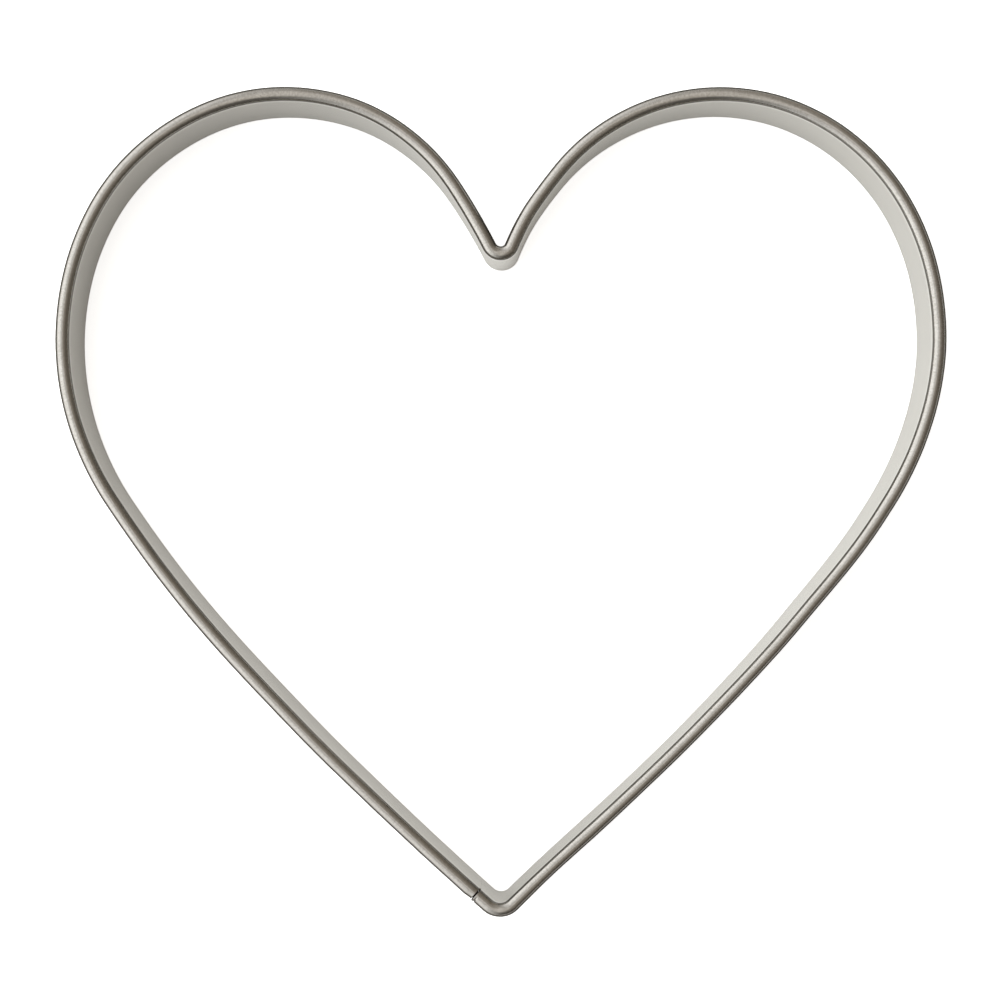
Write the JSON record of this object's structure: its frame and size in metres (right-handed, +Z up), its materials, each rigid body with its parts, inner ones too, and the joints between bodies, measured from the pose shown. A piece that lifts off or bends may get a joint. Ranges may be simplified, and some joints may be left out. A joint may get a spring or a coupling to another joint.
{
  "type": "cookie cutter",
  "caption": "Heart-shaped pastry cutter: an open band of thin satin steel on edge, with a rolled top rim and a plain cutting edge.",
  "frame": {"origin": "under the middle of the outline over the rim, on the plane of the cutting edge", "axes": "+Z up from the cutting edge to the rolled rim, +X across the heart's width, +Y towards the cleft between the lobes"},
  "size_m": [0.1, 0.093, 0.025],
  "materials": {
    "satin_steel": "satin rolled stainless sheet",
    "weld_steel": "fine rippled weld bead, lightly dulled"
  },
  "bodies": {
    "root": {"heart_band": "satin_steel", "seam_weld": "weld_steel"}
  },
  "joints": []
}
